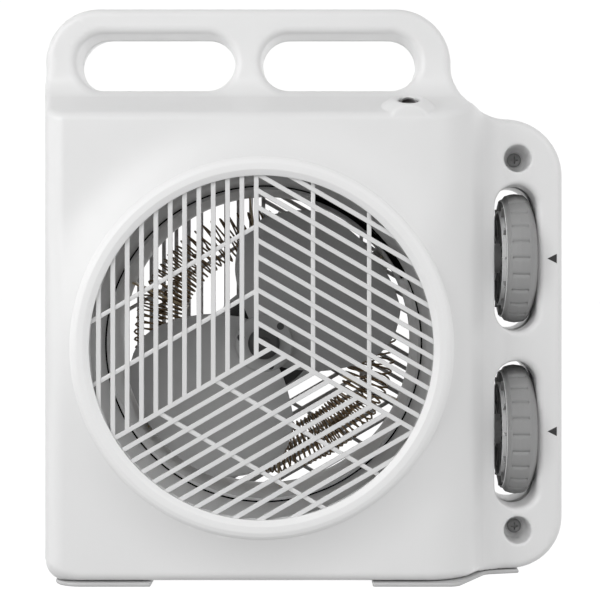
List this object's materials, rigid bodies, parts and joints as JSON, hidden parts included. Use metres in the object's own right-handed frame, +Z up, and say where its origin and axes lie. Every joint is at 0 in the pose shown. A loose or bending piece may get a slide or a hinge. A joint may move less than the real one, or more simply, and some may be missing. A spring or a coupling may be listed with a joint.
{
  "type": "portable fan heater",
  "caption": "Portable upright fan heater with a round barred outlet, a carrying handle and two edge thumbwheels for heat and speed.",
  "frame": {"origin": "middle of the footprint, on the surface that the feet stand on", "axes": "+Z up, -Y out of the front grille, +X to the right as seen from the front, towards the thumbwheels"},
  "size_m": [0.227, 0.108, 0.248],
  "materials": {
    "shell_white": "fine satin moulded white plastic",
    "grille_white": "satin moulded off-white plastic",
    "cone_gray": "satin mid-grey plastic",
    "fan_gray": "satin dark grey plastic",
    "hub_black": "black plastic",
    "wheel_gray": "soft-touch grey plastic",
    "control_black": "black phenolic plastic",
    "motor_black": "black baked paint",
    "steel": "plain steel",
    "copper": null,
    "bronze": "sintered bronze",
    "zinc_sheet": "zinc-coated steel sheet",
    "mica": null,
    "nichrome": "oxidised brown nickel-chrome wire",
    "lens": "dark translucent plastic",
    "foot_gray": "light grey rubber"
  },
  "bodies": {
    "casing": {"front_shell": "shell_white", "rear_shell": "shell_white", "front_grille": "grille_white", "rear_grille": "grille_white", "outlet_cone": "cone_gray", "fan_shroud": "cone_gray", "heater_ring": "zinc_sheet", "motor_can": "motor_black", "motor_front_cap": "motor_black", "motor_rear_cap": "motor_black", "front_bearing": "bronze", "rear_bearing": "bronze", "stator_core": "steel", "stator_winding_front": "copper", "stator_winding_rear": "copper", "motor_bracket": "zinc_sheet", "heating_coil_inner": "nichrome", "heating_coil_outer": "nichrome", "thermal_cutout": "control_black", "thermal_fuse": "bronze", "thermostat_body": "control_black", "selector_body": "control_black", "indicator_lens": "lens", "indicator_lamp": "control_black", "left_foot": "foot_gray", "right_foot": "foot_gray", "cord_gland": "control_black", "terminal_block": "foot_gray", "mica_vane_1": "mica", "case_screw_1": "steel", "mica_vane_2": "mica", "case_screw_2": "steel", "mica_vane_3": "mica", "case_screw_3": "steel", "mica_vane_4": "mica", "case_screw_4": "steel", "mica_vane_5": "mica", "case_screw_5": "steel", "mica_vane_6": "mica", "case_screw_6": "steel"},
    "fan": {"fan_rotor": "fan_gray", "fan_cap": "hub_black", "motor_shaft": "steel", "armature": "steel"},
    "thermostat": {"thermostat_wheel": "wheel_gray", "thermostat_spindle": "steel"},
    "selector": {"selector_wheel": "wheel_gray", "selector_spindle": "steel"}
  },
  "joints": [
    {"name": "fan_spin", "type": "hinge", "parent": "casing", "child": "fan", "pos_m": [-0.0177, -0.0105, 0.1008], "axis": [0, 1, 0], "continuous": true},
    {"name": "thermostat_turn", "type": "hinge", "parent": "casing", "child": "thermostat", "pos_m": [0.0932, 0, 0.1385], "axis": [1, 0, 0], "range_deg": [0, 280]},
    {"name": "selector_turn", "type": "hinge", "parent": "casing", "child": "selector", "pos_m": [0.0932, 0, 0.0617], "axis": [1, 0, 0], "range_deg": [0, 270]}
  ]
}
